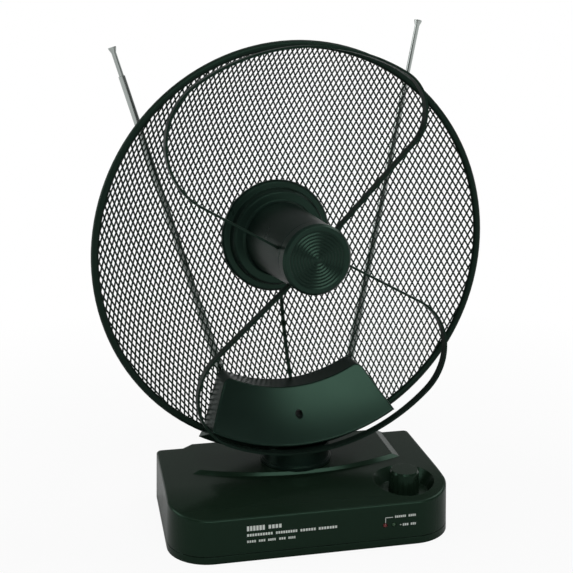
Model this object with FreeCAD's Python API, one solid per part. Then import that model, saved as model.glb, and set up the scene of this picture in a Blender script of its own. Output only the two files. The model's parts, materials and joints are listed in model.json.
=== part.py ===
import FreeCAD, Part
import math
import os

Vector = FreeCAD.Vector

# Indoor TV antenna: a flat amplifier base, a swivelling neck, a round wire-mesh reflector with a
# feed nose and two strip loops in front, and two telescopic rods behind. Millimetres, +Z up,
# origin under the middle of the base, the front of the base faces -Y.

# Base housing
BASE_WIDTH = 202.4
BASE_DEPTH = 116.4
FRONT_CORNER_R = 30.0
BACK_CORNER_R = 5.0
SHOULDER_Z = 36.9
FRONT_DROP = 6.1
FALL_START_Y = -12.0
SIDE_DRAFT = 1.2
WALL = 2.4
TOP_EDGE_R = 2.0
SEAM_Z = 5.4
SEAM_GROOVE = 0.6

# Raised platform round the neck
PLATFORM_RISE = 2.3
PLATFORM_HALF_WIDTH = 81.0
PLATFORM_CHAMFER = 8.5
PLATFORM_SIDE_Y = 7.0
PLATFORM_APEX_Y = -9.0

# Feet, base screws and circuit board
FOOT_R = 6.0
FOOT_T = 1.2
FOOT_X = 84.0
FOOT_FRONT_Y = -38.0
FOOT_BACK_Y = 43.0
BOSS_R = 4.0
BOSS_X = 70.0
BOSS_FRONT_Y = -46.0
BOSS_BACK_Y = 48.0
SCREW_R = 1.4
SCREW_HEAD_R = 2.6
SCREW_HEAD_H = 1.8
SCREW_LENGTH = 14.0
SCREW_SUNK = 0.6
BOARD_Z = 12.0
BOARD_T = 1.6
BOARD_LEFT = -60.0
BOARD_RIGHT = 84.0
BOARD_FRONT = -42.0
BOARD_BACK = 43.0
POST_R = 3.5
POST_INSET = 6.0
BOARD_CORNER_R = 3.0

# Gain control in its bowl
KNOB_X = 69.5
KNOB_Y = -30.0
BOWL_TOP_R = 22.4
BOWL_FLOOR_R = 17.0
BOWL_FLOOR_Z = 28.0
KNOB_R = 11.0
KNOB_TOP_R = 9.4
KNOB_HEIGHT = 15.6
KNOB_GAP = 0.4
KNOB_RIBS = 16
KNOB_FLUTE_R = 1.3
KNOB_FLUTE_TOP = 13.0
SHAFT_R = 3.0
SHAFT_DEPTH_IN_KNOB = 10.0
POT_R = 8.0
POT_HEIGHT = 7.0
POT_BUSH_R = 4.5
POT_BUSH_TOP = 24.0

# Indicator lamps
LED_R = 1.6
LED_Z = 16.0
LED_RED_X = 47.5
LED_GREEN_X = 53.8
LED_PROUD = 0.8
LED_LENGTH = 7.0
LED_LEG = 0.6
LED_LEG_RUN = 8.0

# Rear sockets
SOCKET_R = 4.7
SOCKET_ROOT_R = 5.0
SOCKET_RELIEF_R = 4.3
SOCKET_RELIEF = 0.8
SOCKET_BORE_R = 1.0
SOCKET_BORE_DEPTH = 7.0
SOCKET_OUT = 11.0
SOCKET_NUT_R = 6.8
SOCKET_NUT_T = 2.0
SOCKET_BLOCK = 12.0
SOCKET_Z = 20.0
ANTENNA_SOCKET_X = -40.0
TV_SOCKET_X = -14.0
JACK_X = 40.0
JACK_R = 4.2
JACK_BORE_R = 2.8
JACK_PIN_R = 1.0
JACK_DEPTH = 9.0

# Fits
RUN_FIT = 0.05
SNUG = 0.1
SEAT_GAP = 0.3

# Neck
NECK_Y = 17.0
NECK_R = 24.5
NECK_ENTRY = 4.5
COLLAR_R = 26.0
COLLAR_H = 2.6
SPIGOT_R = 15.0
CABLE_BORE_R = 10.0
RETAINER_R = 20.0
RETAINER_T = 3.0
RETAINER_SCREW_PCD_R = 12.5
RETAINER_SCREW_BITE = 5.0
NECK_POST_IN = 10.0
NECK_POST_OUT = 16.0
NECK_POST_CLEAR = 4.0
NECK_POST_T = 7.8

# Reflector, in its own frame: X right, Y up, Z towards the viewer, origin at the rim's centre
SWIVEL_REST = 7.7
HEAD_CLEARANCE = 8.36612
RIM_FORWARD = 3.5
RIM_R = 142.5
RIM_TUBE_R = 2.6
DISH_DEPTH = 53.0
MESH_T = 1.2
MESH_CELL_W = 26.0
MESH_CELL_H = 40.0
MESH_STRAND = 3.2
MESH_BAND = 4.0
MESH_HUB_R = 45.0
MESH_HOLE_R = 16.0
SMALLEST_GAP = 70.0

# Feed nose on the reflector's axis
NOSE_RISE = 2.2
FLANGE_R = 42.0
FLANGE_T = 4.5
STEP_R = 35.5
STEP_RISE = 7.5
BARREL_BACK_R = 27.0
BARREL_FRONT_R = 24.2
SEAM_FRONT = 30.0
NOSE_WALL = 2.6
LEDGE_FRONT = 18.5
LEDGE_R = 17.0
CAP_FRONT = 40.0
CAP_R = 24.6
CAP_BEVEL = 1.6
CAP_SPIGOT = 3.0
CAP_GROOVES = 8
CAP_GROOVE_PITCH = 2.3
CAP_GROOVE_DEPTH = 0.7
CLAMP_R = 36.0
CLAMP_BACK = -57.5
NOSE_SCREW_PCD_R = 31.0

# Strip loops: each end is (root point x, y, heading, angle where it joins the arc)
STRIP_T = 1.6
STRIP_W = 6.0
STRIP_MIDDLE = 23.5
UPPER_ARC_IN = 1.1
UPPER_START = (12.6, 11.7, 45.2, 60.7)
UPPER_END = (-14.8, 4.6, 149.8, 122.9)
LOOP_CLEARANCE = 3.7761
LOWER_DROP = 4.5
LOWER_START = (-10.5, -9.7, 221.5, 244.9)
LOWER_END = (17.2, 4.1, -29.1, 312.4)

# Clamp at the foot of the reflector: cover in front of the mesh, bracket behind it
COVER_HALF_ANGLE = 30.0
COVER_INSET = 4.0
COVER_BAND = 35.5
COVER_RISE = 17.5
COVER_FLARE = 0.55
COVER_BACK = 0.3
COVER_WALL = 2.2
COVER_CORNER_R = 6.0
COVER_EDGE_R = 1.2
COVER_SCREW_IN = 22.0
COVER_SCREW_HOLE_R = 2.7
COVER_SCREW_SEAT = -2.0
COVER_SCREW_TIP = -25.0
COVER_BOSS_R = 4.4
BRACKET_HALF_ANGLE = 24.0
BRACKET_OVERHANG = 4.5
BRACKET_BAND = 32.0
BRACKET_BOSS_R = 3.4
BRACKET_BACK = -30.0
BRACKET_WALL = 2.5

# Feed cable behind the mesh
CABLE_R = 1.4
CABLE_X = 5.3
CABLE_TOP_Y = -24.0
CABLE_ARC_END_Y = -104.0
CABLE_ROUTE = ((-122.0, -19.4), (-141.0, -7.5), (-160.0, -5.5))

# Telescopic rods and their knuckles
PIVOT_X = 44.5
PIVOT_IN = 15.5
PIVOT_BACK = -38.4
STUB_R = 5.5
STUB_BOSS_R = 8.5
STUB_BOSS_FRONT = -18.0
STUB_HEAD_R = 7.4
STUB_HEAD_T = 2.0
KNUCKLE_R = 8.5
KNUCKLE_T = 2.6
CHEEK_T = 3.0
CHEEK_R = 4.4
ROD_SIDE = 7.0
TONGUE_T = 2.8
TONGUE_R = 4.2
RIVET_R = 1.5
RIVET_HEAD_R = 2.7
RIVET_HEAD_T = 1.0
ROD_BACK_LEAN = 6.0
ROD_RADII = (3.1, 2.6, 2.1, 1.6, 1.1)
ROD_TUBE_T = 0.45
ROD_FOOT = 8.5
ROD_LOWEST_TOP = 78.0
ROD_EXPOSED = (62.0, 60.0, 56.0)
ROD_ENGAGED = 8.0
ROD_LAST_LENGTH = 62.0
ROD_TIP_R = 2.2
ROD_TIP_H = 4.0
LEFT_LEAN = 15.9
LEFT_LAST_EXPOSED = 16.6
RIGHT_LEAN = -14.1
RIGHT_LAST_EXPOSED = 36.5

# Values worked out from the sizes above
HALF_WIDTH = BASE_WIDTH / 2
HALF_DEPTH = BASE_DEPTH / 2
PLATFORM_Z = SHOULDER_Z + PLATFORM_RISE
SPHERE_R = (RIM_R ** 2 + DISH_DEPTH ** 2) / (2 * DISH_DEPTH)
SPHERE_CENTRE = Vector(0, 0, SPHERE_R - DISH_DEPTH)
MESH_R = RIM_R - RIM_TUBE_R
FLANGE_BACK = -DISH_DEPTH
FLANGE_FRONT = SPHERE_CENTRE.z - math.sqrt(SPHERE_R ** 2 - FLANGE_R ** 2) + FLANGE_T
STEP_FRONT = FLANGE_FRONT + STEP_RISE
NOSE_SCREW_TIP = FLANGE_FRONT + SCREW_R
COVER_FRONT_R = RIM_R - COVER_INSET
COVER_INNER_R = COVER_FRONT_R - COVER_BAND
COVER_EDGE_Z = SPHERE_CENTRE.z - math.sqrt((SPHERE_R - COVER_RISE) ** 2 - COVER_FRONT_R ** 2)
COVER_LOW_R = COVER_FRONT_R + COVER_FLARE * (COVER_EDGE_Z - COVER_BACK)
COVER_SCREW_Y = COVER_SCREW_IN - RIM_R
BRACKET_OUTER_R = RIM_R + BRACKET_OVERHANG
BRACKET_INNER_R = BRACKET_OUTER_R - BRACKET_BAND
DISH_Z = PLATFORM_Z + HEAD_CLEARANCE + max(BRACKET_OUTER_R, COVER_LOW_R)
NECK_TOP_Z = DISH_Z - BRACKET_OUTER_R + NECK_ENTRY
NECK_POST_TOP_R = BRACKET_INNER_R + NECK_POST_CLEAR
UPPER_ARC_R = RIM_R - UPPER_ARC_IN
COVER_AT_STRIP_R = COVER_FRONT_R + COVER_FLARE * (COVER_EDGE_Z - STRIP_MIDDLE + STRIP_W / 2)
LOWER_ARC_R = COVER_AT_STRIP_R + LOOP_CLEARANCE - LOWER_DROP
PIVOT_Y = PIVOT_IN - RIM_R
RIVET_AXIS = PIVOT_BACK
KNOB_BASE_Z = BOWL_FLOOR_Z + KNOB_GAP


def cylinder(radius, start, end):
    """Solid cylinder between two points."""
    axis = end - start
    return Part.makeCylinder(radius, axis.Length, start, axis)


def box(low, high):
    """Solid box between two corners."""
    size = high - low
    return Part.makeBox(size.x, size.y, size.z, low)


def polar(radius, degrees):
    """Point in the XY plane."""
    angle = math.radians(degrees)
    return Vector(radius * math.cos(angle), radius * math.sin(angle), 0)


def revolved(profile):
    """Solid turned about Z from (radius, height) points."""
    points = [Vector(r, 0, z) for r, z in profile]
    face = Part.Face(Part.makePolygon(points + points[:1]))
    return face.revolve(Vector(0, 0, 0), Vector(0, 0, 1), 360)


def ball(radius):
    """Ball about the centre of the reflector's curve, its seam kept off the reflector's side."""
    return Part.makeSphere(radius, SPHERE_CENTRE, Vector(0, 1, 0))


def three_point_arc(start, middle, end):
    return Part.Arc(start, middle, end).toShape()


# Base

def base_outline(inset, z):
    """Plan outline of the base: large front corners, small back corners."""
    x = HALF_WIDTH - inset
    front = inset - HALF_DEPTH
    back = HALF_DEPTH - inset
    front_r = FRONT_CORNER_R - inset
    back_r = BACK_CORNER_R - inset
    corners = (
        (x - front_r, front + front_r, front_r, -90),
        (x - back_r, back - back_r, back_r, 0),
        (back_r - x, back - back_r, back_r, 90),
        (front_r - x, front + front_r, front_r, 180),
    )
    arcs = []
    for centre_x, centre_y, radius, start in corners:
        centre = Vector(centre_x, centre_y, z)
        points = [centre + polar(radius, start + turn) for turn in (0, 45, 90)]
        arcs.append((points[0], points[1], points[2]))
    edges = []
    for index, (start, middle, end) in enumerate(arcs):
        edges.append(three_point_arc(start, middle, end))
        edges.append(Part.makeLine(end, arcs[(index + 1) % len(arcs)][0]))
    return Part.Wire(edges)


def base_block(inset, low, high):
    """Slab of the base between two heights, its walls leaning in with the mould's draft."""
    lean = SIDE_DRAFT / SHOULDER_Z
    lower = base_outline(inset + lean * low, low)
    upper = base_outline(inset + lean * high, high)
    return Part.makeLoft([lower, upper], True, True)


def under_top(inset):
    """Everything under the top skin, which is flat behind and falls in an arc to the front."""
    run = HALF_DEPTH + FALL_START_Y
    radius = (run ** 2 + FRONT_DROP ** 2) / (2 * FRONT_DROP)
    centre_z = SHOULDER_Z - radius
    radius = radius - inset
    top = SHOULDER_Z - inset
    front_y = -BASE_DEPTH
    sweep = math.asin((FALL_START_Y - front_y) / radius)

    def on_arc(angle):
        return Vector(0, FALL_START_Y - radius * math.sin(angle), centre_z + radius * math.cos(angle))

    start = Vector(0, FALL_START_Y, top)
    back_top = Vector(0, BASE_DEPTH, top)
    back_low = Vector(0, BASE_DEPTH, -SHOULDER_Z)
    front_low = Vector(0, front_y, -SHOULDER_Z)
    edges = [
        Part.makeLine(back_low, back_top),
        Part.makeLine(back_top, start),
        three_point_arc(start, on_arc(sweep / 2), on_arc(sweep)),
        Part.makeLine(on_arc(sweep), front_low),
        Part.makeLine(front_low, back_low),
    ]
    face = Part.Face(Part.Wire(edges))
    face.translate(Vector(-BASE_WIDTH, 0, 0))
    return face.extrude(Vector(2 * BASE_WIDTH, 0, 0))


def housing_form():
    """Outside of the housing, with its top edge rounded and the platform on it."""
    block = base_block(0, SEAM_Z, SHOULDER_Z + FRONT_DROP).common(under_top(0))
    block = block.removeSplitter()
    edges = []
    for edge in block.Edges:
        limits = edge.BoundBox
        on_fold = limits.YLength < SNUG and abs(limits.YMin - FALL_START_Y) < SNUG
        upright = limits.ZLength > SHOULDER_Z / 2
        if limits.ZMin > SHOULDER_Z / 2 and not on_fold and not upright:
            edges.append(edge)
    block = block.makeFillet(TOP_EDGE_R, edges)
    return block.fuse(platform()).removeSplitter()


def platform_outline(inset, z):
    x = PLATFORM_HALF_WIDTH - inset
    back = HALF_DEPTH - SIDE_DRAFT - SNUG
    side = PLATFORM_SIDE_Y + inset / 4
    apex = PLATFORM_APEX_Y + inset / 4
    points = [Vector(-x, back, z), Vector(-x, side, z), Vector(0, apex, z), Vector(x, side, z), Vector(x, back, z)]
    edges = [
        Part.makeLine(points[0], points[1]),
        three_point_arc(points[1], points[2], points[3]),
        Part.makeLine(points[3], points[4]),
        Part.makeLine(points[4], points[0]),
    ]
    return Part.Wire(edges)


def platform():
    """Raised field with sloping sides and a bowed front edge, run out to the back wall."""
    lower = platform_outline(0, SHOULDER_Z - WALL / 2)
    upper = platform_outline(PLATFORM_CHAMFER, PLATFORM_Z)
    return Part.makeLoft([lower, upper], True, True)


def seam_groove():
    """Fine groove round the joint of housing and plate."""
    low = SEAM_Z - SEAM_GROOVE / 2
    high = SEAM_Z + SEAM_GROOVE / 2
    outside = base_block(-WALL, low, high)
    return outside.cut(base_block(SEAM_GROOVE, low, high))


def boss_places():
    for x in (-BOSS_X, BOSS_X):
        for y in (BOSS_FRONT_Y, BOSS_BACK_Y):
            yield Vector(x, y, 0)


def foot_places():
    for x in (-FOOT_X, FOOT_X):
        for y in (FOOT_FRONT_Y, FOOT_BACK_Y):
            yield Vector(x, y, 0)


def post_places():
    for x in (BOARD_LEFT + POST_INSET, BOARD_RIGHT - POST_INSET):
        for y in (BOARD_FRONT + POST_INSET, BOARD_BACK - POST_INSET):
            yield Vector(x, y, 0)


def upright(radius, place, low, high):
    """Vertical cylinder at a place on the plan."""
    return cylinder(radius, Vector(place.x, place.y, low), Vector(place.x, place.y, high))


def back_to_front(radius, x, z, back, front):
    """Cylinder along Y."""
    return cylinder(radius, Vector(x, back, z), Vector(x, front, z))


def bowl_cone(grow, low, high):
    """Cone of the control's bowl, grown by a wall and run between two heights."""
    slope = (BOWL_TOP_R - BOWL_FLOOR_R) / (SHOULDER_Z - BOWL_FLOOR_Z)
    low_r = BOWL_FLOOR_R + grow + slope * (low - BOWL_FLOOR_Z)
    high_r = BOWL_FLOOR_R + grow + slope * (high - BOWL_FLOOR_Z)
    return Part.makeCone(low_r, high_r, high - low, Vector(KNOB_X, KNOB_Y, low))


def make_base_housing():
    form = housing_form()
    cavity = base_block(WALL, 0, SHOULDER_Z).common(under_top(WALL))
    shell = form.cut(cavity)
    inside = [bowl_cone(WALL, BOWL_FLOOR_Z - WALL, SHOULDER_Z)]
    inside += [upright(BOSS_R, place, SEAM_Z, SHOULDER_Z) for place in boss_places()]
    shell = shell.fuse([solid.common(form) for solid in inside])
    holes = [bowl_cone(0, BOWL_FLOOR_Z, PLATFORM_Z + WALL)]
    holes.append(upright(POT_BUSH_R + SEAT_GAP, Vector(KNOB_X, KNOB_Y, 0), POT_BUSH_TOP - SNUG, BOWL_FLOOR_Z))
    holes.append(upright(SPIGOT_R + RUN_FIT, Vector(0, NECK_Y, 0), SHOULDER_Z - 2 * WALL, PLATFORM_Z + WALL))
    holes += [upright(SCREW_R + SNUG, place, 0, SEAM_Z + SCREW_LENGTH) for place in boss_places()]
    for x in (LED_RED_X, LED_GREEN_X):
        holes.append(back_to_front(LED_R + SNUG, x, LED_Z, -HALF_DEPTH - WALL, WALL * 3 - HALF_DEPTH))
    for x in (ANTENNA_SOCKET_X, TV_SOCKET_X):
        holes.append(back_to_front(SOCKET_ROOT_R + SNUG, x, SOCKET_Z, HALF_DEPTH - 3 * WALL, HALF_DEPTH + WALL))
    holes.append(back_to_front(JACK_R + SNUG, JACK_X, SOCKET_Z, HALF_DEPTH - 3 * WALL, HALF_DEPTH + WALL))
    return shell.cut(holes + [seam_groove()]).removeSplitter()


def make_base_plate():
    tray = base_block(0, 0, SEAM_Z)
    tray = tray.cut(base_block(WALL, WALL, SEAM_Z + WALL))
    posts = [upright(POST_R, place, WALL / 2, BOARD_Z) for place in post_places()]
    posts += [upright(BOSS_R, place, 0, SEAM_Z) for place in boss_places()]
    tray = tray.fuse(posts)
    holes = [upright(FOOT_R + SNUG, place, 0, FOOT_T) for place in foot_places()]
    holes += [upright(SCREW_R + SNUG, place, 0, SEAM_Z + WALL) for place in boss_places()]
    holes += [upright(SCREW_HEAD_R + SNUG, place, 0, SCREW_SUNK + SCREW_HEAD_H) for place in boss_places()]
    return tray.cut(holes + [seam_groove()]).removeSplitter()


def make_rubber_feet():
    return Part.makeCompound([upright(FOOT_R, place, 0, FOOT_T) for place in foot_places()])


def screw(length):
    """Pan-head screw standing on its tip at Z 0, head up."""
    shank = cylinder(SCREW_R, Vector(0, 0, 0), Vector(0, 0, length))
    head_low = Vector(0, 0, length)
    head = cylinder(SCREW_HEAD_R, head_low, head_low + Vector(0, 0, SCREW_HEAD_H))
    slot = box(Vector(-SCREW_HEAD_R, -SCREW_HEAD_H / 6, length + SCREW_HEAD_H / 2),
               Vector(SCREW_HEAD_R, SCREW_HEAD_H / 6, length + SCREW_HEAD_H))
    return shank.fuse(head).removeSplitter().cut(slot)


def make_base_screws():
    screws = []
    for place in boss_places():
        piece = screw(SCREW_LENGTH)
        piece.rotate(Vector(0, 0, 0), Vector(1, 0, 0), 180)
        piece.translate(place + Vector(0, 0, SCREW_SUNK + SCREW_HEAD_H + SCREW_LENGTH))
        screws.append(piece)
    return Part.makeCompound(screws)


def make_circuit_board():
    low = Vector(BOARD_LEFT, BOARD_FRONT, BOARD_Z)
    board = box(low, Vector(BOARD_RIGHT, BOARD_BACK, BOARD_Z + BOARD_T))
    corners = [edge for edge in board.Edges if edge.BoundBox.ZLength > BOARD_T / 2]
    return board.makeFillet(BOARD_CORNER_R, corners)


def make_potentiometer():
    place = Vector(KNOB_X, KNOB_Y, 0)
    low = BOARD_Z + BOARD_T
    can = upright(POT_R, place, low, low + POT_HEIGHT)
    bush = upright(POT_BUSH_R, place, low + POT_HEIGHT, POT_BUSH_TOP - SNUG)
    bush = bush.fuse(upright(POT_BUSH_R, place, POT_BUSH_TOP - SNUG, BOWL_FLOOR_Z - WALL / 2))
    hole = upright(SHAFT_R + RUN_FIT, place, low + POT_HEIGHT / 2, BOWL_FLOOR_Z)
    return can.fuse(bush).removeSplitter().cut(hole)


def make_potentiometer_shaft():
    place = Vector(KNOB_X, KNOB_Y, 0)
    low = BOARD_Z + BOARD_T + POT_HEIGHT / 2 + SNUG
    return upright(SHAFT_R, place, low, KNOB_BASE_Z + SHAFT_DEPTH_IN_KNOB)


def make_control_knob():
    """Fluted knob with a bevelled top, bored for the shaft."""
    top = KNOB_HEIGHT
    body = revolved([(0, 0), (KNOB_R, 0), (KNOB_R - (KNOB_R - KNOB_TOP_R) / 2, top - 1.5), (KNOB_TOP_R, top), (0, top)])
    cuts = [cylinder(SHAFT_R, Vector(0, 0, 0), Vector(0, 0, SHAFT_DEPTH_IN_KNOB))]
    for index in range(KNOB_RIBS):
        place = polar(KNOB_R + KNOB_FLUTE_R / 2, index * 360 / KNOB_RIBS)
        cuts.append(cylinder(KNOB_FLUTE_R, place - Vector(0, 0, 1), place + Vector(0, 0, KNOB_FLUTE_TOP)))
    knob = body.cut(cuts)
    knob.translate(Vector(KNOB_X, KNOB_Y, KNOB_BASE_Z))
    return knob


def make_led(x):
    """Lamp with a domed lens through the front wall and a bent leg down to the board."""
    face = -HALF_DEPTH + SIDE_DRAFT * LED_Z / SHOULDER_Z
    dome = Part.makeSphere(LED_R, Vector(x, face - LED_PROUD + LED_R, LED_Z))
    barrel = back_to_front(LED_R, x, LED_Z, face + LED_LENGTH, face - LED_PROUD + LED_R)
    half = LED_LEG / 2
    back = face + LED_LENGTH + LED_LEG_RUN
    leg = box(Vector(x - half, face + LED_LENGTH, LED_Z - half), Vector(x + half, back, LED_Z + half))
    drop = box(Vector(x - half, back - LED_LEG, BOARD_Z + BOARD_T), Vector(x + half, back, LED_Z + half))
    return barrel.fuse([dome, leg, drop]).removeSplitter()


def nut_seat():
    """Where the socket nuts meet the leaning back wall."""
    return HALF_DEPTH - SIDE_DRAFT * (SOCKET_Z - SOCKET_NUT_R) / SHOULDER_Z


def make_coax_socket(x):
    """Coaxial socket: block on the board, root through the wall and nut, relief groove, free barrel."""
    wall_face = HALF_DEPTH - SIDE_DRAFT * SOCKET_Z / SHOULDER_Z
    inner = wall_face - 2 * WALL
    root_end = nut_seat() + SOCKET_NUT_T + SOCKET_RELIEF
    end = wall_face + SOCKET_OUT
    half = SOCKET_BLOCK / 2
    block = box(Vector(x - half, inner - SOCKET_BLOCK, BOARD_Z + BOARD_T), Vector(x + half, inner, SOCKET_Z + half))
    barrel = [back_to_front(SOCKET_ROOT_R, x, SOCKET_Z, inner, root_end)]
    barrel.append(back_to_front(SOCKET_RELIEF_R, x, SOCKET_Z, root_end, root_end + SOCKET_RELIEF))
    barrel.append(back_to_front(SOCKET_R, x, SOCKET_Z, root_end + SOCKET_RELIEF, end))
    socket = block.fuse(barrel).removeSplitter()
    return socket.cut(back_to_front(SOCKET_BORE_R, x, SOCKET_Z, end - SOCKET_BORE_DEPTH, end))


def make_socket_nuts():
    """Flat hexagon nuts that hold the coaxial sockets to the back wall."""
    nuts = []
    for x in (ANTENNA_SOCKET_X, TV_SOCKET_X):
        corners = [polar(SOCKET_NUT_R, 60 * index) for index in range(6)]
        ring = Part.makePolygon(corners + corners[:1])
        nut = Part.Face(ring).extrude(Vector(0, 0, SOCKET_NUT_T))
        nut = nut.cut(cylinder(SOCKET_ROOT_R + RUN_FIT, Vector(0, 0, -SOCKET_NUT_T), Vector(0, 0, 2 * SOCKET_NUT_T)))
        nut.rotate(Vector(0, 0, 0), Vector(1, 0, 0), -90)
        nut.translate(Vector(x, nut_seat(), SOCKET_Z))
        nuts.append(nut)
    return Part.makeCompound(nuts)


def make_power_jack():
    """Low-voltage inlet with a centre pin, flush in the back wall."""
    wall_face = HALF_DEPTH - SIDE_DRAFT * SOCKET_Z / SHOULDER_Z
    inner = wall_face - 2 * WALL
    half = SOCKET_BLOCK / 2
    block = box(Vector(JACK_X - half, inner - SOCKET_BLOCK, BOARD_Z + BOARD_T),
                Vector(JACK_X + half, inner, SOCKET_Z + half))
    sleeve = back_to_front(JACK_R, JACK_X, SOCKET_Z, inner, wall_face)
    jack = block.fuse(sleeve).removeSplitter()
    jack = jack.cut(back_to_front(JACK_BORE_R, JACK_X, SOCKET_Z, wall_face - JACK_DEPTH, wall_face + WALL))
    return jack.fuse(back_to_front(JACK_PIN_R, JACK_X, SOCKET_Z, wall_face - JACK_DEPTH, wall_face - WALL))


# Reflector head, drawn in the reflector's frame and then seated on the neck

def seated(shape):
    """Move a piece from the reflector's frame to its place on the swivelled neck."""
    shape.rotate(Vector(0, 0, 0), Vector(1, 0, 0), 90)
    shape.translate(Vector(0, -RIM_FORWARD, DISH_Z))
    shape.rotate(Vector(0, 0, 0), Vector(0, 0, 1), SWIVEL_REST)
    shape.translate(Vector(0, NECK_Y, 0))
    return shape


def neck_cylinder(radius, low, high):
    """Cylinder on the swivel axis between two heights above the table."""
    return cylinder(radius, Vector(0, low - DISH_Z, -RIM_FORWARD), Vector(0, high - DISH_Z, -RIM_FORWARD))


def rim_ring(grow):
    return Part.makeTorus(RIM_R, RIM_TUBE_R + grow)


def neck_screw_places():
    middle = (NECK_POST_IN + NECK_POST_OUT) / 2
    height = -(NECK_POST_TOP_R + BRACKET_OUTER_R) / 2
    return [Vector(-middle, height, 0), Vector(middle, height, 0)]


def neck_posts(grow):
    """Two upright posts on the neck's top that stand inside the bracket."""
    posts = []
    back = BRACKET_BACK + BRACKET_WALL + SNUG
    for side in (-1, 1):
        xs = sorted((side * NECK_POST_IN, side * NECK_POST_OUT))
        low = Vector(xs[0] - grow, NECK_TOP_Z - DISH_Z - COLLAR_H, back - grow)
        high = Vector(xs[1] + grow, grow - NECK_POST_TOP_R, back + NECK_POST_T + grow)
        posts.append(box(low, high))
    return posts


def make_neck():
    """Turned column with a foot collar, a spigot through the platform and two posts into the bracket."""
    collar_low = PLATFORM_Z + SEAT_GAP
    spigot_low = SHOULDER_Z - WALL - SEAT_GAP
    neck = neck_cylinder(COLLAR_R, collar_low, collar_low + COLLAR_H)
    neck = neck.fuse(neck_cylinder(NECK_R, collar_low, NECK_TOP_Z))
    neck = neck.fuse(neck_cylinder(SPIGOT_R, spigot_low, collar_low))
    neck = neck.fuse(neck_posts(0)).removeSplitter()
    inner_back = BRACKET_BACK + BRACKET_WALL + SNUG
    cuts = [neck_cylinder(CABLE_BORE_R, 0, DISH_Z), rim_ring(SNUG)] + retainer_screw_holes()
    for place in neck_screw_places():
        cuts.append(cylinder(SCREW_R + SNUG, place + Vector(0, 0, inner_back), place + Vector(0, 0, inner_back + NECK_POST_T)))
    return neck.cut(cuts)


def retainer_screw_places():
    """Feet of the screws that join the retainer to the spigot, on the swivel axis's circle."""
    low = SHOULDER_Z - WALL - SEAT_GAP - RETAINER_T - DISH_Z
    for angle in (90, 210, 330):
        place = polar(RETAINER_SCREW_PCD_R, angle)
        yield Vector(place.x, low, place.y - RIM_FORWARD)


def retainer_screw_holes():
    tip = Vector(0, RETAINER_T + RETAINER_SCREW_BITE + SNUG, 0)
    return [cylinder(SCREW_R + SNUG, place, place + tip) for place in retainer_screw_places()]


def make_retainer_screws():
    screws = []
    for place in retainer_screw_places():
        length = RETAINER_T + RETAINER_SCREW_BITE
        piece = screw(length)
        piece.rotate(Vector(0, 0, 0), Vector(1, 0, 0), 90)
        piece.translate(place + Vector(0, length, 0))
        screws.append(piece)
    return Part.makeCompound(screws)


def make_neck_retainer():
    """Disc under the platform that keeps the neck from lifting out."""
    top = SHOULDER_Z - WALL - SEAT_GAP
    disc = neck_cylinder(RETAINER_R, top - RETAINER_T, top)
    return disc.cut([neck_cylinder(CABLE_BORE_R, 0, DISH_Z)] + retainer_screw_holes())


def sector_prism(half_angle, inner_r, outer_r, inset, back, front):
    """Ring sector at the foot of the reflector with rounded upper corners, all sides inset."""
    inner_r = inner_r + inset
    outer_r = outer_r - inset
    inner_a = half_angle - math.degrees(math.asin(inset / inner_r))
    outer_a = half_angle - math.degrees(math.asin(inset / outer_r))
    low_left = polar(outer_r, -90 - outer_a)
    low_right = polar(outer_r, outer_a - 90)
    top_left = polar(inner_r, -90 - inner_a)
    top_right = polar(inner_r, inner_a - 90)
    edges = [
        three_point_arc(low_left, polar(outer_r, -90), low_right),
        Part.makeLine(low_right, top_right),
        three_point_arc(top_right, polar(inner_r, -90), top_left),
        Part.makeLine(top_left, low_left),
    ]
    prism = Part.Face(Part.Wire(edges)).extrude(Vector(0, 0, front - back))
    prism.translate(Vector(0, 0, back))
    corners = []
    for edge in prism.Edges:
        limits = edge.BoundBox
        upright_edge = limits.ZLength > (front - back) / 2
        if upright_edge and limits.YMin > low_left.y + COVER_CORNER_R:
            corners.append(edge)
    return prism.makeFillet(COVER_CORNER_R - inset, corners)


def cover_form(inset):
    """Sector of the cover under a front face that follows the mesh, its outer side flared to the back."""
    outer_r = COVER_FRONT_R + COVER_FLARE * (COVER_EDGE_Z + DISH_DEPTH)
    prism = sector_prism(COVER_HALF_ANGLE, COVER_INNER_R, outer_r, inset, -DISH_DEPTH, DISH_DEPTH)
    front_r = outer_r - COVER_FLARE * 2 * DISH_DEPTH
    flare = Part.makeCone(outer_r - inset, front_r - inset, 2 * DISH_DEPTH, Vector(0, 0, -DISH_DEPTH))
    return prism.common(flare).cut(ball(SPHERE_R - COVER_RISE + inset))


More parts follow.
